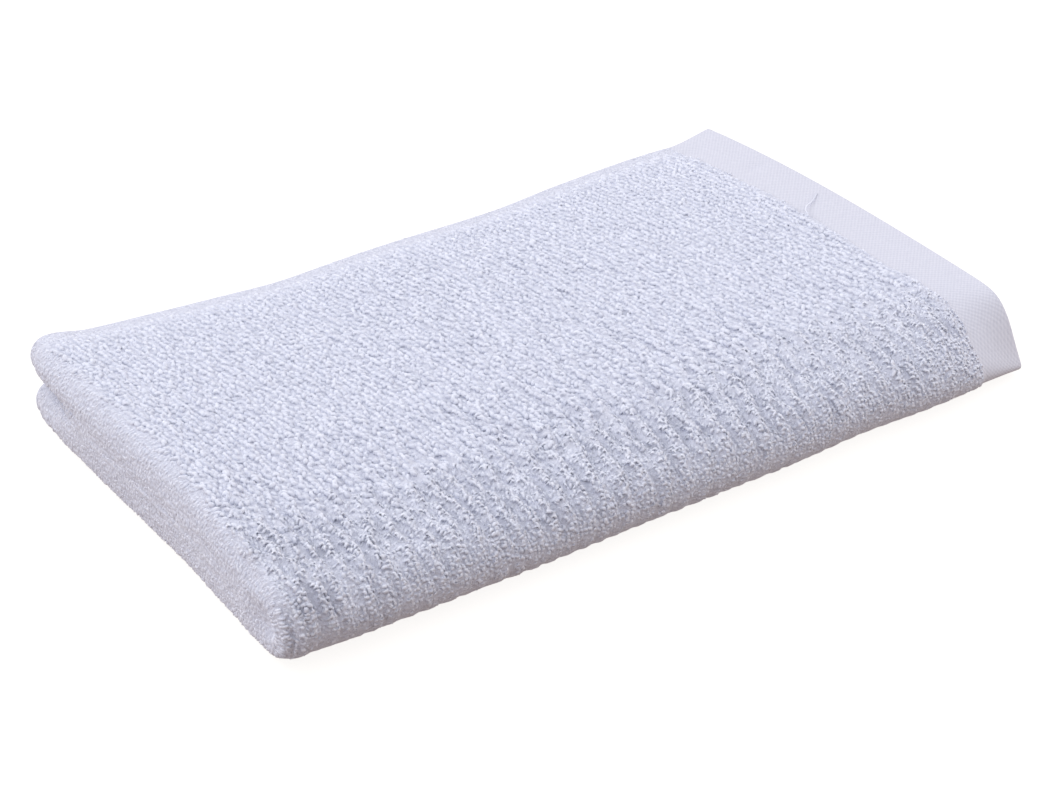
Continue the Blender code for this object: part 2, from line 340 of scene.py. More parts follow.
def makeLoopCotton():
    c = loopCotton
    material, tree, shader = newMaterial("looped terry cotton")
    place = addNode(tree, "ShaderNodeTexCoord")
    # reads each yarn's random tone together with the painted shade or painted light at its ends
    shade = addNode(tree, "ShaderNodeAttribute", {"attribute_name": "yarnToneAndRootShade"})
    fibres = addNode(tree, "ShaderNodeTexNoise",
                     {"Scale": 1 / (c["fibre"] * mm), "Detail": 3.0, "Roughness": 0.6},
                     {"Vector": place.outputs["Object"]})
    mixed = addNode(tree, "ShaderNodeMix",
                    {"data_type": "RGBA", 6: hexColour(c["shade"]), 7: hexColour(c["light"])},
                    {0: shade.outputs["Fac"]})
    tree.links.new(mixed.outputs[2], shader.inputs["Base Color"])
    bump = addNode(tree, "ShaderNodeBump", {"Strength": 0.5, "Distance": c["bump"] * mm},
                   {"Height": fibres.outputs["Fac"]})
    tree.links.new(bump.outputs["Normal"], shader.inputs["Normal"])
    setFinish(shader, c)
    return material


# Plain-woven cotton of the headers, selvages and ground: flat, fine crossed threads.
wovenCotton = {
    "light": "DADBE4",
    "shade": "C8CAD5",
    "thread": 1.0,          # mm between threads, twice the real 0.5 so that the render shows them
    "threadDepth": 0.42,    # of the threads, against the cloth's unevenness
    "uneven": 1.6,          # mm across that
    "bump": 0.16,           # mm
    "roughness": 0.85,
    "specular": 0.2,
}


def makeWovenCotton():
    c = wovenCotton
    material, tree, shader = newMaterial("plain woven cotton")
    threads = addNode(tree, "ShaderNodeUVMap", {"uv_map": "threads"})
    place = addNode(tree, "ShaderNodeTexCoord")
    split = addNode(tree, "ShaderNodeSeparateXYZ", {}, {0: threads.outputs["UV"]})
    waves = []
    for axis in ("X", "Y"):
        turns = addNode(tree, "ShaderNodeMath", {"operation": "MULTIPLY", 1: math.pi * 1000 / c["thread"]},
                        {0: split.outputs[axis]})
        waves.append(addNode(tree, "ShaderNodeMath", {"operation": "SINE"}, {0: turns.outputs[0]}))
    crossed = addNode(tree, "ShaderNodeMath", {"operation": "MULTIPLY"},
                      {0: waves[0].outputs[0], 1: waves[1].outputs[0]})
    uneven = addNode(tree, "ShaderNodeTexNoise",
                     {"Scale": 1 / (c["uneven"] * mm), "Detail": 4.0, "Roughness": 0.65},
                     {"Vector": place.outputs["Object"]})
    height = addNode(tree, "ShaderNodeMath", {"operation": "MULTIPLY_ADD", 1: c["threadDepth"]},
                     {0: crossed.outputs[0], 2: uneven.outputs["Fac"]})
    tone = addNode(tree, "ShaderNodeMapRange", {"From Min": -0.1, "From Max": 1.0},
                   {"Value": height.outputs[0]})
    mixed = addNode(tree, "ShaderNodeMix",
                    {"data_type": "RGBA", 6: hexColour(c["shade"]), 7: hexColour(c["light"])},
                    {0: tone.outputs[0]})
    tree.links.new(mixed.outputs[2], shader.inputs["Base Color"])
    bump = addNode(tree, "ShaderNodeBump", {"Strength": 0.8, "Distance": c["bump"] * mm},
                   {"Height": height.outputs[0]})
    tree.links.new(bump.outputs["Normal"], shader.inputs["Normal"])
    setFinish(shader, c)
    return material


# The same loops deep between those drawn one by one: small soft curls, with painted shade: darker than the
# drawn loops, as the shade between them, and darker in the hollows between the curls.
shadedDeepCotton = {
    "light": "E2E5F1",
    "shade": "CDD0DE",
    "curl": 1.5,            # mm across a curl
    "bump": 0.6,            # mm
    "roughness": 0.95,
    "specular": 0.1,
    "sheen": 0.25,
}


def makeShadedDeepCotton():
    c = shadedDeepCotton
    material, tree, shader = newMaterial("pressed terry cotton with painted shade")
    place = addNode(tree, "ShaderNodeTexCoord")
    curls = addNode(tree, "ShaderNodeTexVoronoi",
                    {"Scale": 1 / (c["curl"] * mm), "feature": "SMOOTH_F1", "Smoothness": 0.6},
                    {"Vector": place.outputs["Object"]})
    fibres = addNode(tree, "ShaderNodeTexNoise",
                     {"Scale": 2 / (c["curl"] * mm), "Detail": 3.0, "Roughness": 0.6},
                     {"Vector": place.outputs["Object"]})
    height = addNode(tree, "ShaderNodeMath", {"operation": "MULTIPLY_ADD", 1: -1.0},
                     {0: curls.outputs["Distance"], 2: fibres.outputs["Fac"]})
    # painted shade: the hollows between the curls get the darker colour
    tone = addNode(tree, "ShaderNodeMapRange", {"From Min": -0.3, "From Max": 0.4},
                   {"Value": height.outputs[0]})
    mixed = addNode(tree, "ShaderNodeMix",
                    {"data_type": "RGBA", 6: hexColour(c["shade"]), 7: hexColour(c["light"])},
                    {0: tone.outputs[0]})
    tree.links.new(mixed.outputs[2], shader.inputs["Base Color"])
    bump = addNode(tree, "ShaderNodeBump", {"Strength": 1.0, "Distance": c["bump"] * mm},
                   {"Height": height.outputs[0]})
    tree.links.new(bump.outputs["Normal"], shader.inputs["Normal"])
    setFinish(shader, c)
    return material


loopMaterial = makeLoopCotton()
wovenMaterial = makeWovenCotton()
shadedDeepMaterial = makeShadedDeepCotton()
print("materials made")


def newPiece(name, points, faces, material, attributes=None):
    # points in mm; faces as a list of index arrays, one array for each number of corners
    mesh = bpy.data.meshes.new(name)
    mesh.vertices.add(len(points))
    mesh.vertices.foreach_set("co", (points * mm).astype(np.float32).ravel())
    corners = np.concatenate([f.ravel() for f in faces])
    sizes = np.concatenate([np.full(len(f), f.shape[1]) for f in faces])
    mesh.loops.add(len(corners))
    mesh.loops.foreach_set("vertex_index", corners.astype(np.int32))
    mesh.polygons.add(len(sizes))
    mesh.polygons.foreach_set("loop_start", np.concatenate([[0], np.cumsum(sizes)[:-1]]).astype(np.int32))
    mesh.update(calc_edges=True)
    mesh.validate()
    mesh.polygons.foreach_set("use_smooth", np.ones(len(sizes), dtype=bool))
    for key, values in (attributes or {}).items():
        layer = mesh.attributes.new(key, "FLOAT", "POINT")
        layer.data.foreach_set("value", values.astype(np.float32))
    mesh.materials.append(material)
    piece = bpy.data.objects.new(name, mesh)
    bpy.context.scene.collection.objects.link(piece)
    triangles = int((sizes - 2).sum())
    print(name, triangles, "triangles")
    return piece


pileArea = {
    "ground": 1.95,         # mm from the cloth's middle to its woven ground
    "pressed": 2.5,         # mm to the pile where no loop of its own is drawn
    "front": 0.4,           # mm by which it is fuller among the loose loops at the front
    "rim": 0.7,             # mm by which the smooth low front, pressed on the table, stands above the ground
    "furrow": 26.0,         # mm past the left fold's middle to which the outer face has loops
    "furrowFade": 6.0,      # and over which they end
    "lowEnd": (-16.0, -11.0),       # mm from the front fold's middle, over which its fullness ends below
    "calm": (8.0, 17.0),    # mm from the selvage over which the smooth strip passes into the loops
    "calmRise": 0.2,        # mm by which that strip is fuller
    "pressedReach": 3.0,    # mm past the front fold's middle to which the low front is pressed smooth
}


terry = {                   # degrees and mm
    "slant": 7.0,           # by which the loops lie off the straight line across
    "endSlant": 82.0,       # the same on the left fold, where they hang down
    "stray": 0.12,          # how far a loop stands off its row, as a share of the row
    "root": 0.5,            # how deep its ends go in
    "flattened": 0.2,       # share by which a yarn is thinner than wide
    "frontReach": (18.0, 56.0),     # from the front fold's middle, where loose pile passes into flat pile
    "uneven": 0.25,         # share by which lengths and heights differ
    "heights": (0.12, 1.2),         # between which a loop's middle rises
    "pressedRise": 0.8,     # share of its rise that a loop loses under the towel's weight
    "pressedSink": 0.3,
    "calmRise": 0.7,        # and along the selvages
    "calmSink": 0.05,
    "yarnSpread": (0.85, 1.15),     # of the yarns' radius
    "afterHeader": 1.0,     # mm from the header to the first row
    "afterSelvage": 0.5,
    "pastTop": 1.5,         # past the flat top, where the rows of the left fold begin
    "turnShare": 0.85,      # share of the front fold's turn below its middle that has curls
    "turnGap": 7.0,         # between those and the flat loops below
    "edgeGap": 1.2,         # free of loops at the very edge
    "seamFrom": 8.0,        # from the front fold's middle, where a row of loops begins to cover the furrow
    "seamTo": 40.0,         # from the selvage, where it ends
    "seamStep": 0.6,        # its step, as a share of the left fold's
    "thinning": 1.3,        # how fast the loops get fewer towards the pressed low front
    "headerSize": 0.7,      # of the loops beside the header, against the rest
    "headerReach": 4.0,
    "seed": 5,
}


clumps = {                  # the loops gather in slanting ridges across the towel
    "waves": 44,
    "shortest": 4.8,        # mm from ridge to ridge
    "longest": 9.5,
    "slant": 7.0,           # degrees off the straight line across
    "scatter": 14.0,        # degrees
    "seed": 3,
    "fromFront": [0, 6, 14, 28, 50, 90, 160, 200],      # mm
    "height": [0.35, 1.35, 1.85, 1.50, 0.85, 0.52, 0.42, 0.18],
    "crest": 1.2,           # the ridges level off at this many times their height
    "endHeight": 0.15,
    "nearHeader": (60.0, 150.0, 0.6),       # lower up to here from the header, in mm, by this share
}


dents = [                   # place u, v, reach both ways and depth, in mm; ridges where the depth is negative
    (343.9, 222.7, 5.0, 5.0, 1.6),      # at the front left corner
    (349.8, 230.0, 4.0, 9.0, 1.6),
    (347.4, 212.0, 1.7, 6.0, 2.2),
    (350.6, 213.0, 1.4, 6.0, -0.9),
    (344.3, 212.0, 1.5, 6.0, -0.8),
    (337.0, 215.0, 1.9, 8.0, 1.5),
    (329.5, 217.0, 1.8, 9.0, 1.3),
    (322.0, 220.0, 1.8, 9.0, 1.3),
    (24.0, 407.0, 8.0, 5.0, 1.2),       # at the back right corner
    (11.5, 375.0, 5.0, 4.0, 0.7),
    (360.0, 397.0, 1.3, 5.0, 1.1),      # a crease on the left fold
    (359.6, 387.0, 1.3, 6.0, 1.1),
    (359.1, 376.0, 1.3, 6.0, 0.9),
    (23.0, 330.0, 1.8, 3.0, 1.3),       # gaps at the header
    (21.5, 261.0, 1.2, 3.0, 1.3),
    (230.0, 270.0, 1.7, 20.0, 0.8),     # furrows in the pile above the front
    (223.5, 266.0, 1.7, 24.0, 0.9),
    (217.0, 262.0, 1.7, 18.0, 0.8),
    (210.5, 258.0, 1.7, 22.0, 0.8),
    (203.5, 254.0, 1.7, 20.0, 0.8),
    (196.0, 250.0, 1.7, 16.0, 0.7),
]


def onFloor(u, v, reach):
    # 1 where the towel lies on its pile, 0 from reach past the front fold's middle and on the left fold
    below = 1.0 - ramp(v, cloth["width"] / 2 - 10.0, cloth["width"] / 2 + reach)
    return below * (1.0 - ramp(u, *onEndSpan))


def calm(v):
    # 1 on the smooth strips of short pile along the selvages
    return 1.0 - ramp(np.minimum(v, cloth["width"] - v), *pileArea["calm"])


def clumpField(u, v):
    # height of the clumps in mm and its slope both ways
    c = clumps
    rng = np.random.default_rng(c["seed"])
    height, slopeU, slopeV = np.zeros_like(u), np.zeros_like(u), np.zeros_like(u)
    size = math.sqrt(2.0 / c["waves"])
    for k in range(c["waves"]):
        length = rng.uniform(c["shortest"], c["longest"])
        angle = math.radians(c["slant"] + c["scatter"] * rng.normal())
        phase = rng.uniform(0, 2 * math.pi)
        kU = 2 * math.pi / length * math.cos(angle)
        kV = 2 * math.pi / length * math.sin(angle)
        wave = kU * u + kV * v + phase
        height += size * np.sin(wave)
        slopeU += size * kU * np.cos(wave)
        slopeV += size * kV * np.cos(wave)
    height = c["crest"] * np.tanh(height / c["crest"])
    steepness = 1.0 - (height / c["crest"]) ** 2
    slopeU, slopeV = slopeU * steepness, slopeV * steepness
    fromFront = np.abs(v - cloth["width"] / 2)
    local = np.interp(fromFront, c["fromFront"], c["height"])
    start, end, share = c["nearHeader"]
    local = local * (share + (1.0 - share) * ramp(u, start, end))
    local = local + (c["endHeight"] - local) * ramp(u, straightAlong - 6.0, straightAlong + 8.0)
    local = local * ramp(np.minimum(u, cloth["length"] - u) - loopEdge(v), -1.0, 5.0)   # none on the headers
    local = local * (1.0 - onFloor(u, v, 4.0)) * (1.0 - calm(v))    # nor where the pile is pressed or short
    height, slopeU, slopeV = height * local, slopeU * local, slopeV * local
    for placeU, placeV, reachU, reachV, depth in dents:
        offU, offV = (u - placeU) / reachU, (v - placeV) / reachV
        dent = depth * np.exp(-offU ** 2 - offV ** 2)
        height -= dent
        slopeU += 2 * offU / reachU * dent
        slopeV += 2 * offV / reachV * dent
    return height, slopeU, slopeV


def loopShare(u, side):
    # 1 where this face of the cloth carries loops, 0 between the layers, where the pile is pressed
    if side < 0:
        return np.zeros_like(u)
    p = pileArea
    return 1.0 - ramp(u - cloth["length"] / 2, p["furrow"], p["furrow"] + p["furrowFade"])


groundSheet = {             # mm
    "rim": 1.3,             # over which the cloth's edge rounds off
    "thinnest": 0.12,       # share of its thickness left at the very edge
    "rimStep": 0.33,        # between its points: at the rim
    "headerStep": 1.5,      # on the header
    "risingStep": 0.9,      # where the pile begins
    "topStep": 1.8,         # on top
    "endStep": 1.4,         # on the left fold
    "frontStep": 1.3,       # on the front fold
    "selvageStep": 1.2,
    "hiddenStep": 4.4,      # between the layers and below
    "riseReach": 3.5,       # from header or selvage to the full pile
    "seed": 11,
    "unevenness": (-0.35, 0.25),    # of the pile between the layers
}


def groundOffset(u, v, side):
    # distance of the ground sheet's face from the middle surface
    p = pileArea
    half = clothThickness(u, v) / 2
    looped = loopShare(u, side)
    deep = np.minimum(half, p["pressed"])
    offset = deep + (np.minimum(half, p["ground"]) - deep) * looped
    edge = np.minimum(np.minimum(u, cloth["length"] - u), np.minimum(v, cloth["width"] - v))
    rim = groundSheet["rim"]
    rounded = np.sqrt(np.clip(1.0 - ((rim - np.minimum(edge, rim)) / rim) ** 2, 0.0, 1.0))
    return side * offset * np.maximum(rounded, groundSheet["thinnest"])


def spread(stretches):
    # places from a list of (end, step), starting at 0, an even number of steps to each end
    places = [0.0]
    for end, step in stretches:
        count = 2 * max(1, round((end - places[-1]) / step / 2))
        start = places[-1]
        places += [start + (end - start) * k / count for k in range(1, count + 1)]
    return np.array(places)


def makeGround():
    g = groundSheet
    length, width, header = cloth["length"], cloth["width"], cloth["headerWidth"]
    risen = header + g["riseReach"]
    inner = cloth["selvageWidth"] + g["riseReach"]
    looped = length / 2 + pileArea["furrow"] + pileArea["furrowFade"]
    us = spread([(g["rim"], g["rimStep"]), (header, g["headerStep"]), (risen + 6.0, g["risingStep"]),
                 (straightAlong, g["topStep"]), (looped, g["endStep"]), (length - risen, g["hiddenStep"]),
                 (length - header, g["risingStep"]), (length - g["rim"], g["topStep"]),
                 (length, g["rimStep"])])
    vs = spread([(g["rim"], g["rimStep"]), (inner, g["selvageStep"]), (straightAcross, g["hiddenStep"]),
                 (width - straightAcross, g["frontStep"]), (width - inner, g["topStep"]),
                 (width - g["rim"], g["selvageStep"]), (width, g["rimStep"])])
    u, v = np.meshgrid(us, vs, indexing="ij")
    rng = np.random.default_rng(g["seed"])
    outer = groundOffset(u, v, 1) + clumpField(u, v)[0] * loopShare(u, 1)
    pastHeader = ramp(u - loopEdge(v), 0.0, 3.0)
    outer += pileArea["calmRise"] * calm(v) * loopShare(u, 1) * pastHeader
    past = v - cloth["width"] / 2
    loose = (1.0 - ramp(past, *terry["frontReach"])) * (1.0 - ramp(u, *onEndSpan))
    rim = pileArea["rim"] * onFloor(u, v, pileArea["pressedReach"])
    outer += np.maximum(rim, pileArea["front"] * loose) * ramp(past, *pileArea["lowEnd"]) * pastHeader
    inside = groundOffset(u, v, -1)[::2, ::2]
    piled = ramp(clothThickness(u, v)[::2, ::2], 3.0, cloth["pile"])
    inside = inside - piled * rng.uniform(*g["unevenness"], inside.shape)
    rows, columns = u.shape
    index = np.arange(rows * columns).reshape(rows, columns)
    coarse = rows * columns + np.arange(inside.size).reshape(inside.shape)

    def quads(grid):
        return np.stack([grid[:-1, :-1], grid[1:, :-1], grid[1:, 1:], grid[:-1, 1:]], axis=-1).reshape(-1, 4)

    def border(grid):
        return np.concatenate([grid[0, :-1], grid[:-1, -1], grid[-1, :0:-1], grid[:0:-1, 0]])

    edge, edgeBelow = border(index), border(coarse)
    walls = np.stack([edge[::2], edge[1::2], np.roll(edge, -2)[::2], np.roll(edgeBelow, -1), edgeBelow],
                     axis=-1)
    points = np.concatenate([foldPoint(u, v, outer).reshape(-1, 3),
                             foldPoint(u[::2, ::2], v[::2, ::2], inside).reshape(-1, 3)])
    points[:, 2] = np.maximum(points[:, 2], 0.0)
    ground = newPiece("groundCloth", points, [quads(index), quads(coarse)[:, ::-1], walls], wovenMaterial)
    ground.data.materials.append(shadedDeepMaterial)
    looped = ramp(np.minimum(u, length - u) - loopEdge(v), -headerEdge["thickening"], 1.2)
    looped = np.concatenate([looped.ravel(), looped[::2, ::2].ravel()])
    places = np.stack([np.concatenate([u.ravel(), u[::2, ::2].ravel()]),
                       np.concatenate([v.ravel(), v[::2, ::2].ravel()])], axis=-1) * mm
    corner = np.empty(len(ground.data.loops), dtype=np.int32)
    ground.data.loops.foreach_get("vertex_index", corner)
    start = np.empty(len(ground.data.polygons), dtype=np.int32)
    ground.data.polygons.foreach_get("loop_start", start)
    # the pile's faces take the pressed terry, whose darker colour is painted shade between the loops
    isPile = looped[corner[start]] > 0.3
    ground.data.polygons.foreach_set("material_index", isPile.astype(np.int32))
    threadMap = ground.data.uv_layers.new(name="threads")
    threadMap.data.foreach_set("uv", places[corner].astype(np.float32).ravel())
    return ground


ground = makeGround()


# row: between rows along the towel; step: between loops in a row; yarn: radius; length: the part of a
# loop that shows; rise: of its middle; sunk: into the pile round it; rootShading: painted shade that makes
# its ends darker than its top, or painted light that makes them lighter where it is above 1
pileKinds = {
    "top": {"row": 2.75, "step": 2.05, "yarn": 0.98, "length": 2.3, "rise": 0.44, "curl": 0.35,
            "scatter": 26.0, "sunk": 0.0, "segments": 4, "sides": 4, "rootShading": 0.4},
    "front": {"row": 1.85, "step": 1.45, "yarn": 0.74, "length": 1.5, "rise": 0.85, "curl": 0.4,
              "scatter": 50.0, "sunk": 0.0, "segments": 4, "sides": 3, "rootShading": 1.3},
    "end": {"row": 2.24, "step": 1.71, "yarn": 0.66, "length": 2.1, "rise": 0.24, "curl": 0.22,
            "scatter": 26.0, "sunk": 0.2, "segments": 4, "sides": 4, "rootShading": 0.4},
    "under": {"row": 5.0, "step": 4.2, "yarn": 1.6, "length": 5.0, "rise": 0.40, "curl": 0.5,
              "scatter": 26.0, "sunk": 0.0, "segments": 3, "sides": 3, "rootShading": 0.4},
    "edge": {"row": 1.7, "step": 1.9, "yarn": 0.60, "length": 2.0, "rise": 0.25, "curl": 0.2,
             "scatter": 26.0, "sunk": 0.0, "segments": 3, "sides": 3, "rootShading": 0.4},
}


def loopPaths(u, v, size, kind, rng):
    # centre lines of the loops whose middles stand at u, v, and the way out of the pile at each
    t = terry
    count = len(u)
    base = np.minimum(pileArea["ground"], clothThickness(u, v) / 2 + 0.1) - 0.1
    point, alongWay, acrossWay, normal = surfaceFrame(u, v, base)
    clump, slopeU, slopeV = clumpField(u, v)
    onEnd = ramp(u, *onEndSpan)
    way = np.linspace(0.0, 1.0, kind["segments"] + 1)[None, :]
    bulge = np.sin(math.pi * way)
    longer = rng.uniform(1.0 - t["uneven"], 1.0 + t["uneven"], count)
    length = (kind["length"] * size * longer)[:, None] * (way - 0.5)
    slant = t["slant"] + (t["endSlant"] - t["slant"]) * onEnd
    turn = np.radians(slant + kind["scatter"] * rng.normal(size=count))[:, None]
    curl = (kind["curl"] * size * rng.normal(size=count))[:, None] * bulge
    pressed = onFloor(u, v, 5.0)
    rise = kind["rise"] * size * (1.0 - t["pressedRise"] * pressed) * rng.normal(1.0, t["uneven"], count)
    rise = (rise * (1.0 - t["calmRise"] * calm(v))).clip(*t["heights"])[:, None]
    a = length * np.sin(turn) + curl * np.cos(turn)
    b = length * np.cos(turn) - curl * np.sin(turn)
    level = (clump - t["calmSink"] * calm(v) - t["pressedSink"] * pressed)[:, None]
    c = level + (rise + t["root"]) * bulge - t["root"] - kind["sunk"]
    paths = (point[:, None] + a[..., None] * alongWay[:, None] + b[..., None] * acrossWay[:, None]
             + c[..., None] * normal[:, None])
    tilt = slopeU[:, None] * alongWay + slopeV[:, None] * acrossWay
    return paths, unit(normal - tilt)


def yarnMesh(name, paths, outward, radius, sides, rootShading, rng):
    # a closed tube round each path, pressed flatter towards the cloth
    count, stations = paths.shape[:2]
    tangent = unit(np.gradient(paths, axis=1))
    binormal = unit(np.cross(paths[:, -1] - paths[:, 0], paths[:, stations // 2] - paths[:, 0]))[:, None]
    aside = unit(np.cross(tangent, binormal))
    binormal = np.cross(aside, tangent)
    angles = 2 * math.pi * np.arange(sides) / sides
    around = np.cos(angles)[:, None] * aside[:, :, None] + np.sin(angles)[:, None] * binormal[:, :, None]
    press = (around * outward[:, None, None]).sum(-1, keepdims=True) * outward[:, None, None]
    ring = paths[:, :, None] + radius[..., None, None] * (around - terry["flattened"] * press)
    ring[..., 2] = np.maximum(ring[..., 2], 0.02)
    index = np.arange(count * stations * sides).reshape(count, stations, sides)
    beside = np.roll(index, -1, axis=2)
    quads = np.stack([index[:, :-1], beside[:, :-1], beside[:, 1:], index[:, 1:]], axis=-1).reshape(-1, 4)
    caps = np.concatenate([index[:, 0, ::-1], index[:, -1]]).reshape(-1, sides)
    top = np.sin(np.linspace(0.0, math.pi, stations))
    # each yarn's tone differs at random; its ends also carry painted shade, darker than its top, or painted
    # light, lighter than its top, where that share is above 1
    tone = rng.uniform(*loopCotton["tones"], count)[:, None] * (rootShading + (1.0 - rootShading) * top)
    shade = np.repeat(tone, sides)
    return newPiece(name, ring.reshape(-1, 3), [quads, caps], loopMaterial, {"yarnToneAndRootShade": shade})


def worldSpaced(fixed, start, end, alongU, step, w):
    # places between start and end of one coordinate that lie step apart in space
    fine = np.linspace(start, end, int(abs(end - start) / 0.7) + 2)
    still = np.full(len(fine), fixed)
    lifted = np.full(len(fine), w)
    line = foldPoint(fine, still, lifted) if alongU else foldPoint(still, fine, lifted)
    length = np.concatenate([[0.0], np.cumsum(np.linalg.norm(np.diff(line, axis=0), axis=1))])
    count = max(1, int(length[-1] / step))
    return np.interp((np.arange(count) + 0.5) * length[-1] / count, length, fine)


def loopRows(start, end, kind, bounds, rng):
    # middles of the loops in rows across the cloth, between the bounds of each row
    w = cloth["pile"] / 2
    row, step = kind["row"], kind["step"]
    us, vs = [], []
    topMiddle = cloth["width"] * 0.75
    for place in worldSpaced(topMiddle, start, end, True, row, w):
        places = worldSpaced(place, *bounds, False, step, w)
        places = places + (rng.uniform(-0.2, 0.2, len(places)) + rng.uniform(-0.5, 0.5)) * step
        drift = math.tan(math.radians(terry["slant"])) * (places - topMiddle)
        us.append(place + drift % row - row / 2 + rng.normal(0.0, terry["stray"], len(places)) * row)
        vs.append(places)
    return np.concatenate(us), np.concatenate(vs)


def makePile():
    t, kinds = terry, pileKinds
    rng = np.random.default_rng(t["seed"])
    width, middle = cloth["width"], cloth["width"] / 2
    header = cloth["headerWidth"] + t["afterHeader"]
    last = cloth["length"] / 2 + pileArea["furrow"]
    endStart = straightAlong + t["pastTop"]
    edge = cloth["selvageWidth"] + t["afterSelvage"]
    underEnd = middle - (middle - straightAcross) * t["turnShare"]
    frontStart, frontEnd = middle + t["frontReach"][0], middle + t["frontReach"][1]
    thirds = np.linspace(header, endStart, 4)
    seam = cloth["length"] - straightAlong - 1.0    # where the two left folds touch
    regions = []
    for k, name in enumerate(("pileTopRight", "pileTopMiddle", "pileTopLeft")):
        u, v = loopRows(thirds[k], thirds[k + 1], kinds["top"], (frontStart, width - edge), rng)
        kept = rng.uniform(size=len(v)) < ramp(v, frontStart, frontEnd)
        regions.append((name, kinds["top"], (u[kept], v[kept])))
    half = (header + endStart) / 2
    for name, start, stop in (("pileFrontRight", header, half), ("pileFrontLeft", half, endStart)):
        u, v = loopRows(start, stop, kinds["front"], (underEnd, frontEnd), rng)
        smooth = t["thinning"] * onFloor(u, v, pileArea["pressedReach"])
        kept = rng.uniform(size=len(v)) > np.maximum(ramp(v, frontStart, frontEnd), smooth)
        regions.append((name, kinds["front"], (u[kept], v[kept])))
    u, v = loopRows(endStart, last, kinds["end"], (edge, width - edge), rng)
    closed = 0.3    # from this much on, loops beyond the seam would lie inside
    isOpen = (u < seam) | (furrowClosed(v) < closed)
    along = worldSpaced(seam, middle + t["seamFrom"], width - t["seamTo"], False,
                        kinds["end"]["step"] * t["seamStep"], 0.0)
    along = along[furrowClosed(along) > closed]
    regions.append(("pileEnd", kinds["end"], (np.concatenate([u[isOpen], np.full(len(along), seam)]),
                                              np.concatenate([v[isOpen], along]))))
    backEdge, lowEdge = (width - edge - 1.0, width - t["edgeGap"]), (t["edgeGap"], edge + 1.0)
    for name, kind, stop, bounds in (("pileUnder", "under", endStart, (edge, underEnd - t["turnGap"])),
                                     ("pileBackEdge", "edge", last, backEdge),
                                     ("pileLowEdge", "edge", last, lowEdge)):
        regions.append((name, kinds[kind], loopRows(header, stop, kinds[kind], bounds, rng)))
    pieces = []
    for name, kind, (u, v) in regions:
        shown = u > loopEdge(v) + rng.normal(0.0, 0.4, len(u))
        u, v = u[shown], v[shown]
        size = t["headerSize"] + (1.0 - t["headerSize"]) * ramp(u - loopEdge(v), 0.0, t["headerReach"])
        paths, outward = loopPaths(u, v, size, kind, rng)
        radius = kind["yarn"] * size * rng.uniform(*t["yarnSpread"], len(u))
        radius = radius[:, None] * np.ones(paths.shape[1])
        pieces.append(yarnMesh(name, paths, outward, radius, kind["sides"], kind["rootShading"], rng))
    return pieces


strayThread = {             # a loose end of white thread on the header
    "u": [7.5, 13.0, 19.5, 23.5, 27.0],
    "v": [338.0, 334.0, 331.4, 327.0, 321.0],
    "lift": [0.5, 0.9, 1.5, 3.0, 3.2],      # mm
    "liftFrom": 0.9,        # mm above the cloth's middle, where that starts
    "radius": 0.32,
    "stations": 28,
    "sides": 5,
    # painted shade at the thread's two ends
    "rootShading": 0.4,
    "seed": 9,
}


def makeThread():
    t = strayThread
    knots = np.linspace(0.0, 1.0, len(t["u"]))
    fine = np.linspace(0.0, 1.0, t["stations"])
    u, v, lift = (np.interp(fine, knots, t[key]) for key in ("u", "v", "lift"))
    for _ in range(6):
        for line in (u, v, lift):
            line[1:-1] = (line[:-2] + 2 * line[1:-1] + line[2:]) / 4
    path = foldPoint(u, v, lift + t["liftFrom"] + clumpField(u, v)[0])[None]
    radius = np.full((1, t["stations"]), t["radius"])
    return yarnMesh("looseThread", path, np.array([[0.0, 0.0, 1.0]]), radius, t["sides"], t["rootShading"],
                    np.random.default_rng(t["seed"]))


pile = makePile() + [makeThread()]
print("pile made")

for piece in [ground] + pile:
    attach(piece, "root")
    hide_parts("towel")


studio = {
    "floorHalf": 4.0,       # metres
    "floor": "8A8886",
    "floorGlow": "FFFEFC",
    "glow": 0.86,           # the floor is a lit white table
    "above": "F8F8FF",      # soft light from all round above
    "sky": 0.77,
    "below": "E08A50",      # and a little from below, warm
    "dim": 0.28,
    "rise": (0.0, 0.50),    # from the one to the other, as sines of the height
    "bright": (-0.08, 0.40, 0.86),  # the brighter side of the room, above and behind
    "brightGain": 0.40,
    "left": (-0.90, 0.30, -0.34),   # a pale wall on the left
    "leftColour": "F8FAFF",
    "leftGlow": 0.76,
    "right": (0.97, 0.15, 0.10),    # and one on the right
    "rightColour": "FFFBF8",
    "rightGlow": 0.52,
    "lamps": [              # one behind and above, a weak one low at the front right; metres and watts
        {"place": (-0.65, 1.15, 0.95), "size": 0.7, "power": 5.0, "colour": "FFFDFA"},
        {"place": (0.56, -0.42, 0.13), "size": 0.4, "power": 0.6, "colour": "FFFBF8"},
    ],
}

camera = {                  # as the photograph is taken, lens and distance in mm
    "lens": 88.8,
    "yaw": 34.545,
    "pitch": 32.024,
    "distance": 1048.9,
    "target": (-0.6, 0.2, 0.0),
}


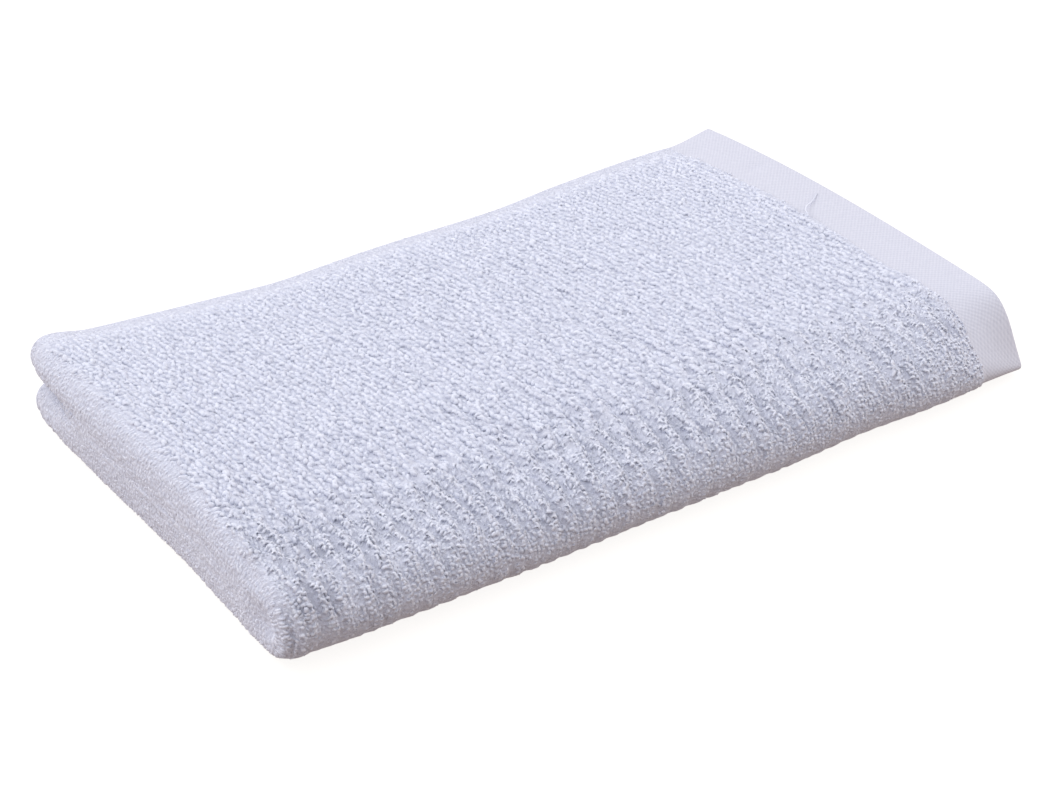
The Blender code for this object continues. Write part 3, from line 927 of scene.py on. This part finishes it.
def makeStudio():
    half = studio["floorHalf"]
    mesh = bpy.data.meshes.new("floor")
    corners = [(-half, -half, 0), (half, -half, 0), (half, half, 0), (-half, half, 0)]
    mesh.from_pydata(corners, [], [(0, 1, 2, 3)])
    material, tree, shader = newMaterial("pale studio floor")
    shader.inputs["Base Color"].default_value = hexColour(studio["floor"])
    shader.inputs["Roughness"].default_value = 1.0
    shader.inputs["Specular IOR Level"].default_value = 0.0
    shader.inputs["Emission Color"].default_value = hexColour(studio["floorGlow"])
    shader.inputs["Emission Strength"].default_value = studio["glow"]
    mesh.materials.append(material)
    floor = bpy.data.objects.new("floor", mesh)
    floor.visible_diffuse = False    # no white bounce: the low front of the cloth is dark and warm
    bpy.context.scene.collection.objects.link(floor)
    for s in studio["lamps"]:
        lamp = bpy.data.lights.new("soft lamp", "AREA")
        lamp.shape = "DISK"
        lamp.size = s["size"]
        lamp.energy = s["power"]
        lamp.color = hexColour(s["colour"])[:3]
        light = bpy.data.objects.new("soft lamp", lamp)
        light.location = s["place"]
        light.rotation_euler = (-Vector(s["place"])).to_track_quat("-Z", "Y").to_euler()
        light.visible_camera = False
        bpy.context.scene.collection.objects.link(light)

    world = bpy.data.worlds.new("studio air")
    world.use_nodes = True
    tree = world.node_tree
    place = addNode(tree, "ShaderNodeTexCoord")
    split = addNode(tree, "ShaderNodeSeparateXYZ", {}, {0: place.outputs["Generated"]})
    start, end = studio["rise"]
    rise = addNode(tree, "ShaderNodeMapRange",
                   {"From Min": start, "From Max": end, "interpolation_type": "SMOOTHSTEP"},
                   {"Value": split.outputs["Z"]})
    below = [c * studio["dim"] for c in hexColour(studio["below"])[:3]] + [1.0]
    mixed = addNode(tree, "ShaderNodeMix", {"data_type": "RGBA", 6: below, 7: hexColour(studio["above"])},
                    {0: rise.outputs[0]})
    behind = addNode(tree, "ShaderNodeVectorMath", {"operation": "DOT_PRODUCT", 1: studio["bright"]},
                     {0: place.outputs["Generated"]})
    gain = addNode(tree, "ShaderNodeMath",
                   {"operation": "MULTIPLY_ADD", 1: studio["brightGain"] * studio["sky"], 2: studio["sky"]},
                   {0: behind.outputs["Value"]})
    background = tree.nodes["Background"]
    tree.links.new(mixed.outputs[2], background.inputs["Color"])
    tree.links.new(gain.outputs[0], background.inputs["Strength"])
    light = background.outputs[0]
    for wall in ("left", "right"):
        towards = addNode(tree, "ShaderNodeVectorMath", {"operation": "DOT_PRODUCT", 1: studio[wall]},
                          {0: place.outputs["Generated"]})
        glow = addNode(tree, "ShaderNodeMath",
                       {"operation": "MULTIPLY", "use_clamp": True, 1: studio[wall + "Glow"]},
                       {0: towards.outputs["Value"]})
        pale = addNode(tree, "ShaderNodeBackground", {"Color": hexColour(studio[wall + "Colour"])},
                       {"Strength": glow.outputs[0]})
        light = addNode(tree, "ShaderNodeAddShader", {}, {0: light, 1: pale.outputs[0]}).outputs[0]
    tree.links.new(light, tree.nodes["World Output"].inputs["Surface"])
    bpy.context.scene.world = world


def makeCamera():
    yaw, pitch = math.radians(camera["yaw"]), math.radians(camera["pitch"])
    forward = Vector((math.sin(yaw) * math.cos(pitch), math.cos(yaw) * math.cos(pitch), -math.sin(pitch)))
    right = Vector((math.cos(yaw), -math.sin(yaw), 0.0))
    turned = Matrix((right, right.cross(forward), -forward)).transposed().to_4x4()
    data = bpy.data.cameras.new("camera")
    data.sensor_width = 36.0
    data.lens = camera["lens"]
    eye = bpy.data.objects.new("camera", data)
    place = Vector(camera["target"]) * mm - forward * camera["distance"] * mm
    eye.matrix_world = Matrix.Translation(place) @ turned
    bpy.context.scene.collection.objects.link(eye)
    bpy.context.scene.camera = eye


makeStudio()
makeCamera()
bpy.context.scene.view_settings.view_transform = "Standard"
print("studio and camera ready")
